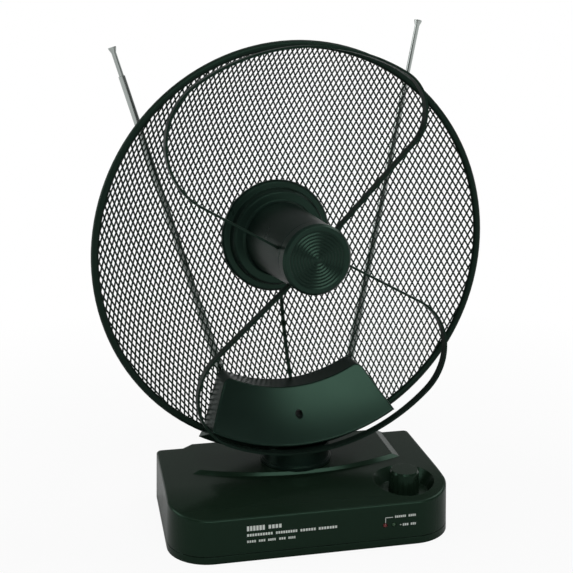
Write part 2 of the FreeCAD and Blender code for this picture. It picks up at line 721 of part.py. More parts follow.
def make_front_cover():
    """Cover in front of the mesh: a wall all round that reaches over the rim, and a screw boss."""
    form = cover_form(0)
    face_r = SPHERE_R - COVER_RISE
    front_edges = []
    for edge in form.Edges:
        spans = [(vertex.Point - SPHERE_CENTRE).Length for vertex in edge.Vertexes]
        if max(spans) < face_r + SNUG:
            front_edges.append(edge)
    form = form.makeFillet(COVER_EDGE_R, front_edges)
    shell = form.cut(cover_form(COVER_WALL))
    middle = Vector(0, COVER_SCREW_Y, 0)
    boss = cylinder(COVER_BOSS_R, middle + Vector(0, 0, -DISH_DEPTH), middle + Vector(0, 0, DISH_DEPTH))
    boss = boss.cut(ball(face_r + COVER_WALL / 2))
    shell = shell.fuse(boss).removeSplitter()
    in_front = box(Vector(-2 * RIM_R, -2 * RIM_R, COVER_BACK), Vector(2 * RIM_R, 0, DISH_DEPTH))
    shell = shell.common(ball(SPHERE_R - MESH_T / 2 - SNUG).fuse(in_front))
    cuts = [rim_ring(SNUG), neck_cylinder(NECK_R + SNUG, 0, NECK_TOP_Z + SNUG)]
    cuts.append(cylinder(SCREW_R + SNUG, middle + Vector(0, 0, -DISH_DEPTH), middle + Vector(0, 0, DISH_DEPTH)))
    cuts.append(cylinder(COVER_SCREW_HOLE_R, middle + Vector(0, 0, COVER_SCREW_SEAT), middle + Vector(0, 0, DISH_DEPTH)))
    return shell.cut(cuts)


def make_cover_screw():
    piece = screw(COVER_SCREW_SEAT - COVER_SCREW_TIP)
    piece.translate(Vector(0, COVER_SCREW_Y, COVER_SCREW_TIP))
    return piece


def pivot_places():
    return [Vector(-PIVOT_X, PIVOT_Y, 0), Vector(PIVOT_X, PIVOT_Y, 0)]


def make_rear_bracket():
    """Tray behind the mesh that cradles the rim, stands on the neck and carries both rod knuckles."""
    sector = (BRACKET_HALF_ANGLE, BRACKET_INNER_R, BRACKET_OUTER_R)
    outer = sector_prism(*sector, 0, BRACKET_BACK, 0)
    inner = sector_prism(*sector, BRACKET_WALL, BRACKET_BACK + BRACKET_WALL, -BRACKET_BACK)
    tray = outer.cut(inner)
    floor = BRACKET_BACK + BRACKET_WALL
    bosses = [cylinder(STUB_BOSS_R, place + Vector(0, 0, floor), place + Vector(0, 0, STUB_BOSS_FRONT)) for place in pivot_places()]
    middle = Vector(0, COVER_SCREW_Y, 0)
    bosses.append(cylinder(BRACKET_BOSS_R, middle + Vector(0, 0, floor), middle))
    tray = tray.fuse(bosses)
    inside_wall = sector_prism(*sector, 0, floor, 0)
    cuts = [ball(SPHERE_R + MESH_T / 2 + SNUG), rim_ring(SNUG)]
    cuts.append(neck_cylinder(NECK_R + SNUG, 0, NECK_TOP_Z + SNUG))
    cuts += [post.common(inside_wall) for post in neck_posts(SNUG)]
    cuts.append(cylinder(SCREW_R + SNUG, middle + Vector(0, 0, COVER_SCREW_TIP - SNUG), middle))
    for place in pivot_places():
        cuts.append(cylinder(STUB_R, place + Vector(0, 0, 2 * BRACKET_BACK), place))
    for place in neck_screw_places():
        cuts.append(cylinder(SCREW_R + SNUG, place + Vector(0, 0, 2 * BRACKET_BACK), place + Vector(0, 0, floor)))
    notch_low = Vector(CABLE_X, -BRACKET_INNER_R - 2 * COVER_CORNER_R, 0)
    notch_low.z = -math.sqrt((SPHERE_R + MESH_T + CABLE_R) ** 2 - notch_low.y ** 2) + SPHERE_CENTRE.z
    notch_high = Vector(CABLE_X, -BRACKET_INNER_R + 2 * COVER_CORNER_R, 0)
    notch_high.z = -math.sqrt((SPHERE_R + MESH_T + CABLE_R) ** 2 - notch_high.y ** 2) + SPHERE_CENTRE.z
    cuts.append(cylinder(2 * CABLE_R, notch_low, notch_high))
    return tray.cut(cuts).removeSplitter()


def make_neck_screws():
    screws = []
    for place in neck_screw_places():
        piece = screw(BRACKET_WALL + NECK_POST_T)
        piece.rotate(Vector(0, 0, 0), Vector(1, 0, 0), 180)
        piece.translate(place + Vector(0, 0, BRACKET_BACK + BRACKET_WALL + NECK_POST_T))
        screws.append(piece)
    return Part.makeCompound(screws)


def make_reflector_rim():
    return rim_ring(0)


def mesh_gaps():
    """Diamond gaps in staggered rows, trimmed to the ring between the hub and the rim band."""
    field = Part.Face(Part.Wire(Part.makeCircle(MESH_R - MESH_BAND)))
    field = field.cut(Part.Face(Part.Wire(Part.makeCircle(MESH_HUB_R))))
    width = (MESH_CELL_W - MESH_STRAND) / 2
    height = (MESH_CELL_H - MESH_STRAND * MESH_CELL_H / MESH_CELL_W) / 2
    rows = int(2 * RIM_R / MESH_CELL_H) + 1
    columns = int(RIM_R / MESH_CELL_W) + 1
    gaps = []
    for row in range(-rows, rows + 1):
        shift = MESH_CELL_W / 2 * (row % 2)
        for column in range(-columns, columns + 1):
            centre = Vector(column * MESH_CELL_W + shift, row * MESH_CELL_H / 2, 0)
            if centre.Length > RIM_R + MESH_CELL_H / 2:
                continue
            corners = [centre + Vector(width, 0, 0), centre + Vector(0, height, 0)]
            corners += [centre - Vector(width, 0, 0), centre - Vector(0, height, 0)]
            diamond = Part.Face(Part.makePolygon(corners + corners[:1]))
            for piece in diamond.common(field).Faces:
                if piece.Area > SMALLEST_GAP:
                    gaps.append(piece)
    return gaps


def make_reflector_mesh():
    """Dished sheet of expanded metal, open in diamonds."""
    shell = ball(SPHERE_R + MESH_T / 2).cut(ball(SPHERE_R - MESH_T / 2))
    shell = shell.common(cylinder(MESH_R, Vector(0, 0, -2 * DISH_DEPTH), Vector(0, 0, DISH_DEPTH)))
    holes = []
    for gap in mesh_gaps():
        gap.translate(Vector(0, 0, -2 * DISH_DEPTH))
        holes.append(gap.extrude(Vector(0, 0, 3 * DISH_DEPTH)))
    holes.append(cylinder(MESH_HOLE_R, Vector(0, 0, -2 * DISH_DEPTH), Vector(0, 0, 0)))
    middle = Vector(0, COVER_SCREW_Y, 0)
    holes.append(cylinder(SCREW_HEAD_R, middle + Vector(0, 0, -DISH_DEPTH), middle))
    for place in nose_screw_places():
        holes.append(cylinder(SCREW_R + SNUG, place + Vector(0, 0, -2 * DISH_DEPTH), place))
    return shell.cut(holes)


def on_nose(shape):
    """Lift a piece turned about Z onto the nose's axis."""
    shape.translate(Vector(0, NOSE_RISE, 0))
    return shape


def nose_screw_places():
    return [polar(NOSE_SCREW_PCD_R, angle) + Vector(0, NOSE_RISE, 0) for angle in (90, 210, 330)]


def make_nose_barrel():
    """Hollow tapered barrel on a stepped flange that follows the curve of the mesh."""
    bore_r = BARREL_FRONT_R - NOSE_WALL
    outside = [
        (0, FLANGE_BACK - FLANGE_T),
        (FLANGE_R, FLANGE_BACK - FLANGE_T),
        (FLANGE_R, FLANGE_FRONT - 1.5),
        (FLANGE_R - 1.5, FLANGE_FRONT),
        (STEP_R + 1.0, FLANGE_FRONT),
        (STEP_R, STEP_FRONT - 1.5),
        (STEP_R - 1.5, STEP_FRONT),
        (BARREL_BACK_R + 1.5, STEP_FRONT),
        (BARREL_BACK_R, STEP_FRONT + 1.5),
        (BARREL_FRONT_R, SEAM_FRONT - 0.8),
        (BARREL_FRONT_R - 0.8, SEAM_FRONT),
        (0, SEAM_FRONT),
    ]
    barrel = on_nose(revolved(outside)).common(ball(SPHERE_R - MESH_T / 2 - SNUG))
    bore = revolved([
        (0, -2 * DISH_DEPTH),
        (LEDGE_R, -2 * DISH_DEPTH),
        (LEDGE_R, STEP_FRONT),
        (bore_r, STEP_FRONT + NOSE_WALL),
        (bore_r, LEDGE_FRONT - NOSE_WALL),
        (LEDGE_R, LEDGE_FRONT - NOSE_WALL),
        (LEDGE_R, LEDGE_FRONT),
        (bore_r, LEDGE_FRONT),
        (bore_r, SEAM_FRONT + NOSE_WALL),
        (0, SEAM_FRONT + NOSE_WALL),
    ])
    cuts = [on_nose(bore), upper_strip(SNUG), lower_strip(SNUG)]
    for place in nose_screw_places():
        cuts.append(cylinder(SCREW_R + SNUG, place + Vector(0, 0, -2 * DISH_DEPTH), place + Vector(0, 0, NOSE_SCREW_TIP)))
    return barrel.cut(cuts)


def make_nose_cap():
    """Front cap with fine concentric grooves and a spigot into the barrel."""
    bore_r = BARREL_FRONT_R - NOSE_WALL - SNUG
    hollow_r = bore_r - NOSE_WALL
    inner_face = CAP_FRONT - 2 * NOSE_WALL
    profile = [(0, inner_face), (hollow_r, inner_face), (hollow_r, SEAM_FRONT - CAP_SPIGOT)]
    profile += [(bore_r, SEAM_FRONT - CAP_SPIGOT), (bore_r, SEAM_FRONT)]
    profile += [(CAP_R - 0.8, SEAM_FRONT), (CAP_R, SEAM_FRONT + 0.8)]
    profile += [(CAP_R, CAP_FRONT - CAP_BEVEL), (CAP_R - CAP_BEVEL, CAP_FRONT)]
    half = CAP_GROOVE_PITCH / 2
    for index in range(CAP_GROOVES, 0, -1):
        middle = index * CAP_GROOVE_PITCH + half / 2
        profile += [(middle + half, CAP_FRONT), (middle, CAP_FRONT - CAP_GROOVE_DEPTH)]
    profile += [(half, CAP_FRONT), (0, CAP_FRONT)]
    return on_nose(revolved(profile))


def make_nose_clamp():
    """Disc behind the mesh that the barrel is screwed to, notched for the cable."""
    disc = on_nose(cylinder(CLAMP_R, Vector(0, 0, CLAMP_BACK), Vector(0, 0, -DISH_DEPTH / 2)))
    cuts = [ball(SPHERE_R + MESH_T / 2 + SNUG)]
    notch_z = CLAMP_BACK
    cuts.append(box(Vector(CABLE_X - CABLE_R - SEAT_GAP, -2 * CLAMP_R, notch_z - 1),
                    Vector(CABLE_X + CABLE_R + SEAT_GAP, CABLE_TOP_Y + SEAT_GAP, 0)))
    for place in nose_screw_places():
        cuts.append(cylinder(SCREW_R + SNUG, place + Vector(0, 0, -2 * DISH_DEPTH), place))
    return disc.cut(cuts)


def make_nose_screws():
    screws = []
    for place in nose_screw_places():
        piece = screw(NOSE_SCREW_TIP - CLAMP_BACK - SNUG)
        piece.rotate(Vector(0, 0, 0), Vector(1, 0, 0), 180)
        piece.translate(place + Vector(0, 0, NOSE_SCREW_TIP - SNUG))
        screws.append(piece)
    return Part.makeCompound(screws)


def make_balun_board():
    """Round board on the barrel's ledge, where the strips and the cable are joined."""
    radius = BARREL_FRONT_R - NOSE_WALL - SNUG
    return on_nose(cylinder(radius, Vector(0, 0, LEDGE_FRONT), Vector(0, 0, STRIP_MIDDLE - STRIP_W / 2 - SNUG)))


def meeting_point(point_a, heading_a, point_b, heading_b):
    """Where two lines in the XY plane cross."""
    a = polar(1, heading_a)
    b = polar(1, heading_b)
    gap = point_b - point_a
    return point_a + a * ((gap.x * b.y - gap.y * b.x) / (a.x * b.y - a.y * b.x))


def strip_corners(arc_r, start, end):
    """Corner points and bend radii of a loop: leg, bend, long arc, bend, leg."""
    middle_angle = (start[3] + end[3]) / 2
    quarter = (end[3] - start[3]) / 4
    reach = arc_r / math.cos(math.radians(quarter))
    corners = [(Vector(start[0], start[1], 0), 0)]
    for x, y, heading, join in (start, end):
        corner = meeting_point(Vector(x, y, 0), heading, polar(arc_r, join), join + 90)
        corners.append((corner, None))
    first = corners[1]
    last = corners[2]
    arc = [(polar(reach, middle_angle - quarter), arc_r), (polar(reach, middle_angle + quarter), arc_r)]
    return [corners[0], first] + arc + [last, (Vector(end[0], end[1], 0), 0)]


def bent_line(corners, arc_r, joins, shift):
    """Edges of a flat line with rounded corners, moved sideways by shift (left of travel is positive)."""
    points = [corner for corner, radius in corners]
    headings = [(b - a).normalize() for a, b in zip(points, points[1:])]
    lefts = [Vector(-heading.y, heading.x, 0) for heading in headings]
    edges = []
    here = points[0] + lefts[0] * shift
    ends = {1: polar(arc_r, joins[0]), len(points) - 2: polar(arc_r, joins[1])}
    for index in range(1, len(points) - 1):
        corner = points[index]
        turn = math.acos(max(-1, min(1, headings[index - 1].dot(headings[index]))))
        tangent = corners[index][1] * math.tan(turn / 2) if corners[index][1] else (ends[index] - corner).Length
        radius = tangent / math.tan(turn / 2)
        inward = (headings[index] - headings[index - 1]).normalize()
        centre = corner + inward * (radius / math.cos(turn / 2))
        enter = corner - headings[index - 1] * tangent + lefts[index - 1] * shift
        leave = corner + headings[index] * tangent + lefts[index] * shift
        side = 1 if inward.dot(lefts[index - 1]) > 0 else -1
        middle = centre - inward * (radius - side * shift)
        if (enter - here).Length > SNUG / 10:
            edges.append(Part.makeLine(here, enter))
        edges.append(three_point_arc(enter, middle, leave))
        here = leave
    last = points[-1] + lefts[-1] * shift
    edges.append(Part.makeLine(here, last))
    return edges


def strip(arc_r, start, end, grow):
    """Flat metal strip on edge, bent to a loop."""
    corners = strip_corners(arc_r, start, end)
    joins = (start[3], end[3])
    half = STRIP_T / 2 + grow
    left = bent_line(corners, arc_r, joins, half)
    right = bent_line(corners, arc_r, joins, -half)
    caps = [Part.makeLine(left[0].Vertexes[0].Point, right[0].Vertexes[0].Point),
            Part.makeLine(left[-1].Vertexes[1].Point, right[-1].Vertexes[1].Point)]
    outline = Part.Wire(Part.__sortEdges__(left + right + caps))
    depth = STRIP_W + 2 * grow
    solid = Part.Face(outline).extrude(Vector(0, 0, depth))
    solid.translate(Vector(0, 0, STRIP_MIDDLE - depth / 2))
    return solid


def upper_strip(grow):
    return strip(UPPER_ARC_R, UPPER_START, UPPER_END, grow)


def lower_strip(grow):
    loop = strip(LOWER_ARC_R, LOWER_START, LOWER_END, grow)
    loop.translate(Vector(0, -LOWER_DROP, 0))
    return loop


def make_feed_cable():
    """Thin cable down the back of the mesh, through the bracket and into the neck."""
    track_r = SPHERE_R + MESH_T / 2 + SEAT_GAP + CABLE_R

    def on_track(y):
        return Vector(CABLE_X, y, SPHERE_CENTRE.z - math.sqrt(track_r ** 2 - y ** 2))

    start = on_track(CABLE_TOP_Y)
    arc_end = on_track(CABLE_ARC_END_Y)
    edges = [three_point_arc(start, on_track((CABLE_TOP_Y + CABLE_ARC_END_Y) / 2), arc_end)]
    points = [arc_end] + [Vector(CABLE_X, y, z) for y, z in CABLE_ROUTE]
    out = Vector(0, -track_r * math.cos(math.asin(-CABLE_ARC_END_Y / track_r)), -CABLE_ARC_END_Y).normalize()
    first_run = (points[1] - arc_end).Length
    points[1] = arc_end + out * first_run
    here = arc_end
    for before, corner, after in zip(points, points[1:], points[2:]):
        into = (corner - before).normalize()
        onward = (after - corner).normalize()
        turn = math.acos(into.dot(onward))
        tangent = 0.45 * min((corner - before).Length, (after - corner).Length)
        radius = tangent / math.tan(turn / 2)
        print("feed cable bend radius %.0f mm" % radius)
        inward = (onward - into).normalize()
        centre = corner + inward * (radius / math.cos(turn / 2))
        edges.append(Part.makeLine(here, corner - into * tangent))
        edges.append(three_point_arc(corner - into * tangent, centre - inward * radius, corner + onward * tangent))
        here = corner + onward * tangent
    edges.append(Part.makeLine(here, points[-1]))
    path = Part.Wire(edges)
    tangent = path.Edges[0].tangentAt(path.Edges[0].FirstParameter)
    circle = Part.Wire(Part.makeCircle(CABLE_R, start, tangent))
    tube = path.makePipeShell([circle], True, False)
    print("feed cable volume over section times length %.4f" % (tube.Volume / (math.pi * CABLE_R ** 2 * path.Length)))
    return tube


# Telescopic rods, drawn upright with the fold pin at the origin, and their knuckles

def turned(shape, lean, place):
    """Lean a knuckle or rod sideways about its stub's axis and carry it to its place."""
    shape.rotate(Vector(0, 0, 0), Vector(0, 0, 1), lean)
    shape.translate(place)
    return shape


def rod_place(shape):
    """Stand an upright rod on its fold pin: beside the stub, leaning back a little."""
    shape.rotate(Vector(0, 0, 0), Vector(1, 0, 0), -90 - ROD_BACK_LEAN)
    shape.translate(Vector(ROD_SIDE, 0, RIVET_AXIS))
    return shape


def make_knuckle():
    """Stub in the bracket's bore with a head inside, a disc outside and a cheek for the fold pin."""
    disc_front = BRACKET_BACK - SEAT_GAP
    disc_back = disc_front - KNUCKLE_T
    stub = cylinder(STUB_R - RUN_FIT, Vector(0, 0, disc_front), Vector(0, 0, STUB_BOSS_FRONT + SEAT_GAP))
    head_back = STUB_BOSS_FRONT + SEAT_GAP
    head = cylinder(STUB_HEAD_R, Vector(0, 0, head_back), Vector(0, 0, head_back + STUB_HEAD_T))
    disc = cylinder(KNUCKLE_R, Vector(0, 0, disc_back), Vector(0, 0, disc_front))
    cheek_right = ROD_SIDE - TONGUE_T / 2 - SNUG
    cheek_left = cheek_right - CHEEK_T
    cheek = cylinder(CHEEK_R, Vector(cheek_left, 0, RIVET_AXIS), Vector(cheek_right, 0, RIVET_AXIS))
    web = box(Vector(cheek_left, -CHEEK_R, RIVET_AXIS), Vector(cheek_right, CHEEK_R, disc_front - KNUCKLE_T / 2))
    knuckle = stub.fuse([head, disc, cheek, web]).removeSplitter()
    pin_hole = cylinder(RIVET_R, Vector(-KNUCKLE_R, 0, RIVET_AXIS), Vector(2 * ROD_SIDE, 0, RIVET_AXIS))
    return knuckle.cut(pin_hole)


def make_rivet():
    """Fold pin, headed on both sides."""
    left = ROD_SIDE - TONGUE_T / 2 - SNUG - CHEEK_T
    right = ROD_SIDE + TONGUE_T / 2 + SNUG
    pin = cylinder(RIVET_R, Vector(left, 0, RIVET_AXIS), Vector(right, 0, RIVET_AXIS))
    heads = [cylinder(RIVET_HEAD_R, Vector(left - RIVET_HEAD_T, 0, RIVET_AXIS), Vector(left, 0, RIVET_AXIS))]
    heads.append(cylinder(RIVET_HEAD_R, Vector(right, 0, RIVET_AXIS), Vector(right + RIVET_HEAD_T, 0, RIVET_AXIS)))
    return pin.fuse(heads).removeSplitter()


def rod_tops():
    """Height above the fold pin where each tube ends."""
    tops = [ROD_LOWEST_TOP]
    for exposed in ROD_EXPOSED:
        tops.append(tops[-1] + exposed)
    return tops


def make_rod_section(index, last_exposed):
    """One section of a telescopic rod, the lowest with its flat foot, the last with its tip."""
    radius = ROD_RADII[index]
    tops = rod_tops()
    if index == len(ROD_RADII) - 1:
        top = tops[-1] + last_exposed
        rod = cylinder(radius, Vector(0, 0, top - ROD_LAST_LENGTH), Vector(0, 0, top))
        cap = revolved([(0, 0), (ROD_TIP_R - 0.5, 0), (ROD_TIP_R, 0.5), (ROD_TIP_R, ROD_TIP_H - 0.8),
                        (ROD_TIP_R - 0.8, ROD_TIP_H), (0, ROD_TIP_H)])
        cap.translate(Vector(0, 0, top))
        return rod.fuse(cap).removeSplitter()
    bore = radius - ROD_TUBE_T
    if index > 0:
        low = Vector(0, 0, tops[index - 1] - ROD_ENGAGED)
        high = Vector(0, 0, tops[index])
        return cylinder(radius, low, high).cut(cylinder(bore, low, high))
    half = TONGUE_T / 2
    tube = cylinder(radius, Vector(0, 0, TONGUE_R + SEAT_GAP), Vector(0, 0, tops[0]))
    eye = cylinder(TONGUE_R, Vector(-half, 0, 0), Vector(half, 0, 0))
    web = box(Vector(-half, -radius, 0), Vector(half, radius, ROD_FOOT))
    foot = tube.fuse([eye, web]).removeSplitter()
    foot = foot.cut(box(Vector(-KNUCKLE_R, -KNUCKLE_R, -KNUCKLE_R), Vector(-half, KNUCKLE_R, TONGUE_R + SEAT_GAP)))
    holes = [cylinder(bore, Vector(0, 0, ROD_FOOT), Vector(0, 0, tops[0]))]
    holes.append(cylinder(RIVET_R + RUN_FIT, Vector(-KNUCKLE_R, 0, 0), Vector(KNUCKLE_R, 0, 0)))
    return foot.cut(holes)


ROD_NAMES = ("rod_foot_tube", "rod_second_tube", "rod_third_tube", "rod_fourth_tube", "rod_tip")


def rod_nodes(side, place, lean, last_exposed):
    nodes = {side + "_knuckle": turned(make_knuckle(), lean, place), side + "_fold_rivet": turned(make_rivet(), lean, place)}
    for index, name in enumerate(ROD_NAMES):
        section = rod_place(make_rod_section(index, last_exposed))
        nodes[side + "_" + name] = turned(section, lean, place)
    return nodes


def head_nodes():
    left, right = pivot_places()
    nodes = {
        "neck": make_neck(),
        "neck_retainer": make_neck_retainer(),
        "retainer_screws": make_retainer_screws(),
        "rear_bracket": make_rear_bracket(),
        "neck_screws": make_neck_screws(),
        "front_cover": make_front_cover(),
        "cover_screw": make_cover_screw(),
        "reflector_rim": make_reflector_rim(),
        "reflector_mesh": make_reflector_mesh(),
        "nose_barrel": make_nose_barrel(),
        "nose_cap": make_nose_cap(),
        "nose_clamp": make_nose_clamp(),
        "nose_screws": make_nose_screws(),
        "balun_board": make_balun_board(),
        "upper_loop": upper_strip(0),
        "lower_loop": lower_strip(0),
        "feed_cable": make_feed_cable(),
    }
    nodes.update(rod_nodes("left", left, LEFT_LEAN, LEFT_LAST_EXPOSED))
    nodes.update(rod_nodes("right", right, RIGHT_LEAN, RIGHT_LAST_EXPOSED))
    return {name: seated(shape) for name, shape in nodes.items()}


def base_nodes():
    return {
        "base_housing": make_base_housing(),
        "base_plate": make_base_plate(),
        "rubber_feet": make_rubber_feet(),
        "base_screws": make_base_screws(),
        "circuit_board": make_circuit_board(),
        "potentiometer": make_potentiometer(),
        "potentiometer_shaft": make_potentiometer_shaft(),
        "control_knob": make_control_knob(),
        "lamp_red": make_led(LED_RED_X),
        "lamp_green": make_led(LED_GREEN_X),
        "antenna_socket": make_coax_socket(ANTENNA_SOCKET_X),
        "tv_socket": make_coax_socket(TV_SOCKET_X),
        "socket_nuts": make_socket_nuts(),
        "power_jack": make_power_jack(),
    }


def main():
    os.makedirs("parts", exist_ok=True)
    nodes = base_nodes()
    nodes.update(head_nodes())
    for name, shape in nodes.items():
        shape.exportStep("parts/" + name + ".step")
        print("%-22s solids %d valid %s volume %.0f" % (name, len(shape.Solids), shape.isValid(), shape.Volume))


main()
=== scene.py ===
import json
import math

import bpy
from mathutils import Matrix, Vector


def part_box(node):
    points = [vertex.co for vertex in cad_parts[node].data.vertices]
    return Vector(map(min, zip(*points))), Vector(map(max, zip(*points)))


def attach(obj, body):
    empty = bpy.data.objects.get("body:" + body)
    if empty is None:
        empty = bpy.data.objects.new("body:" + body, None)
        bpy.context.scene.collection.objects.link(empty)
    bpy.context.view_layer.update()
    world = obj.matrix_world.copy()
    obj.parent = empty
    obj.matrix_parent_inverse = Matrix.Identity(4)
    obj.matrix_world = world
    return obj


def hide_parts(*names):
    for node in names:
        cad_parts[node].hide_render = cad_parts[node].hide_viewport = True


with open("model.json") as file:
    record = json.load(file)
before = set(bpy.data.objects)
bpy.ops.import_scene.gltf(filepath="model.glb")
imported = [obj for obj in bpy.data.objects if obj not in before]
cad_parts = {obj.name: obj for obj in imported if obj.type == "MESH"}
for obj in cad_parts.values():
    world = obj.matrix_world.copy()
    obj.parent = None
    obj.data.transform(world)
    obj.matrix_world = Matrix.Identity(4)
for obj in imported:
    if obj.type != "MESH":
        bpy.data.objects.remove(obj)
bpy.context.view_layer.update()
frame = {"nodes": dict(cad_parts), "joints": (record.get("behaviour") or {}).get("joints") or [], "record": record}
scene = bpy.context.scene
MM = 0.001

# Reflector frame, read from the model: rim centre, dish normal (towards the viewer), right and up
JOINTS = {joint["name"]: joint for joint in frame["joints"]}
RIM_LOW, RIM_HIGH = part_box("reflector_rim")
RIM_CENTRE = (RIM_LOW + RIM_HIGH) / 2
NORMAL = Vector(JOINTS["left_rod_turn"]["axis"]).normalized()
UP = Vector((0, 0, 1))
RIGHT = UP.cross(NORMAL)

# Reflector sizes that the fine mesh follows, in mm
RIM_R = 142.5
DISH_DEPTH = 53.0
SPHERE_R = (RIM_R ** 2 + DISH_DEPTH ** 2) / (2 * DISH_DEPTH)
NOSE_RISE = 2.2
COVER_SCREW_Y = -120.5

# Expanded metal: diamonds in the middle of the sheet, which draws together towards the rim
CELL_W = 4.54
CELL_H = 8.31
HOLE_SHARE = 0.71
STRAND_T = 1.0
STRAND_EDGE_T = 0.5
DRAW_IN_SIDE = 0.048
DRAW_IN_ENDS = 0.146
DRAW_IN_ROWS = 0.047
DRAW_IN_UNIT = 100
DRAW_IN_STEPS = 12
COLUMN_LEAN = 0.073
ROW_LEAN = 0.042
MESH_OUTER_R = 142.1
MESH_INNER_R = 33.0
SCREW_CLEAR_R = 3.0
DIAMOND = ((0.5, 0), (0, 0.5), (-0.5, 0), (0, -0.5))
COLUMNS = int(1.4 * RIM_R / CELL_W)
ROWS = int(1.3 * RIM_R / CELL_H)

# Upper rod sections: name, outer and inner radius in mm, and the turned tip
ROD_SIDES = 32
ROD_SHARP_ANGLE = math.radians(40)
ROD_TUBES = (
    ("rod_second_tube", 2.60, 2.52),
    ("rod_third_tube", 2.50, 2.42),
    ("rod_fourth_tube", 2.40, 2.32),
)
ROD_TIP_R = 1.75
TIP_FLARE_R = 2.9
TIP_FLARE_H = 4.0
TIP_RIM_H = 0.8

# Base front, where the print is
BASE_DEPTH = 116.4
SIDE_DRAFT = 1.2
SHOULDER_Z = 36.9
PRINT_FILM = 0.05
BAR_SHARE = 0.72

# Words of the print: left and right end, number of bars, lower and upper edge
PRINT_WORDS = (
    (-49.4, -36.6, 6, 21.9, 25.4),
    (-34.6, -25.0, 4, 22.3, 25.0),
    (-49.4, -31.4, 10, 17.9, 19.7),
    (-29.6, -14.4, 9, 17.9, 19.7),
    (-12.6, -1.4, 6, 17.9, 19.7),
    (0.2, 13.6, 7, 17.9, 19.7),
    (-49.4, -43.0, 4, 13.4, 15.0),
    (-41.4, -36.6, 3, 13.4, 15.0),
    (-35.0, -29.4, 4, 13.4, 15.0),
    (-27.4, -22.6, 3, 13.4, 15.0),
    (-21.0, -15.8, 4, 13.4, 15.0),
    (54.5, 62.6, 6, 21.1, 22.7),
    (64.3, 69.8, 4, 21.1, 22.7),
    (58.2, 59.4, 1, 15.3, 15.9),
    (60.2, 64.6, 3, 14.7, 16.3),
    (66.0, 70.0, 3, 14.7, 16.3),
)

# Thin line from the red lamp to its word: left and right end, lower and upper edge
LEADER = ((47.5, 47.9, 17.9, 21.9), (47.5, 53.0, 21.5, 21.9))

# Camera as fitted to the photograph
CAMERA_PLACE = Vector((-154.1, -689.6, 357.7)) * MM
CAMERA_PITCH = math.radians(14.514)
CAMERA_AZIMUTH = math.radians(-11.779)
CAMERA_LENS = 65.76
SENSOR_WIDTH = 36

# Looks that the materials share
WHITE = (1, 1, 1)
SHEEN_TINT = (0.50, 1.0, 0.72)
SHEEN_CHANGE = 0.04
GRAIN_DETAIL = 2
GRAIN_HEIGHT = 0.02
EDGE_SAMPLES = 4
WEAR_SCALE = 40
WEAR_DETAIL = 4
STREAK_SIZE = 0.6
STREAK_DETAIL = 3
STREAK_CHANGE = 0.3
LENS_ROUGHNESS = 0.12
LENS_CLEARNESS = 0.3
WEAVE_SIZE = 1.2
WEAVE_SHADE = 0.85
BOARD_ROUGHNESS = 0.4
INK_COLOUR = (0.62, 0.66, 0.62)
INK_ROUGHNESS = 0.5

# Moulded and painted slots: colour, roughness, grain size in mm, grain depth, specular level,
# edge radius in mm
BASE_BLACK = (0.0068, 0.0146, 0.0086)
HEAD_BLACK = (0.0040, 0.0084, 0.0068)
MOULDED_SLOTS = {
    "base_plastic": (BASE_BLACK, 0.24, 0.5, 0.06, 0.2, 0.6),
    "head_plastic": (HEAD_BLACK, 0.29, 0.5, 0.08, 0.3, 0.9),
    "knob_plastic": (BASE_BLACK, 0.18, 0.6, 0.05, 0.2, 0.35),
    "foot_rubber": ((0.02, 0.02, 0.02), 0.7, 0.3, 0.3, 0.3, 0.35),
    "jack_plastic": ((0.015, 0.015, 0.015), 0.45, 0.4, 0.2, 0.3, 0.35),
    "mesh_paint": ((0.0036, 0.007, 0.0052), 0.42, 0.3, 0.15, 0.18, 0.1),
    "loop_paint": ((0.0046, 0.009, 0.0068), 0.36, 0.4, 0.15, 0.18, 0.2),
    "cable_rubber": ((0.0042, 0.008, 0.0062), 0.4, 0.6, 0.1, 0.18, 0.1),
    "knuckle_plastic": (HEAD_BLACK, 0.35, 0.5, 0.1, 0.3, 0.35),
}

# Metal slots: colour, roughness
METAL_SLOTS = {
    "screw_steel": ((0.10, 0.10, 0.10), 0.35),
    "potentiometer_metal": ((0.55, 0.55, 0.56), 0.3),
    "socket_metal": ((0.65, 0.65, 0.64), 0.2),
    "rod_chrome": ((0.34, 0.37, 0.355), 0.16),
}

# Lamp slots: colour, glow
LENS_SLOTS = {
    "lamp_red_plastic": ((0.14, 0.014, 0.014), 0.03),
    "lamp_green_plastic": ((0.018, 0.075, 0.025), 0.01),
}
BOARD_COLOUR = (0.03, 0.16, 0.06)

# Studio, in metres. A ramp gives the range of a value and the two ends that it is mapped to
FLOOR_HALF = 6.0
FLOOR_COLOUR = (0.62, 0.62, 0.62)
FLOOR_ROUGHNESS = 0.9
FLOOR_WHITE_RAMP = (0.2, 0.6, 0.92, 1)
FLOOR_MIRROR_RAMP = (0.25, 0.9, 0, 1)
BACKDROP_SIDE = (0.2, 0.95, 0.2)
ROOM_RAMP = (-0.2, 0.6, 0.16, 0.27)
HORIZON_RAMP = (0.06, 0.14, 1, 0)

# Soft lights: name, place, width, height, watts
LIGHT_AIM = Vector((0, 0, 0.18))
LIGHTS = (
    ("light_front", (0.15, -1.1, 1.05), 1.3, 0.5, 9.3),
    ("light_right", (1.0, 0.25, 1.15), 0.7, 0.7, 5),
    ("light_left", (-1.05, 0.1, 0.75), 0.6, 0.9, 5),
    ("light_top", (0.0, 0.2, 1.4), 1.3, 0.9, 3),
)


# Materials

def new_material(name):
    material = bpy.data.materials.new(name)
    material.use_nodes = True
    tree = material.node_tree
    return material, tree, tree.nodes["Principled BSDF"]


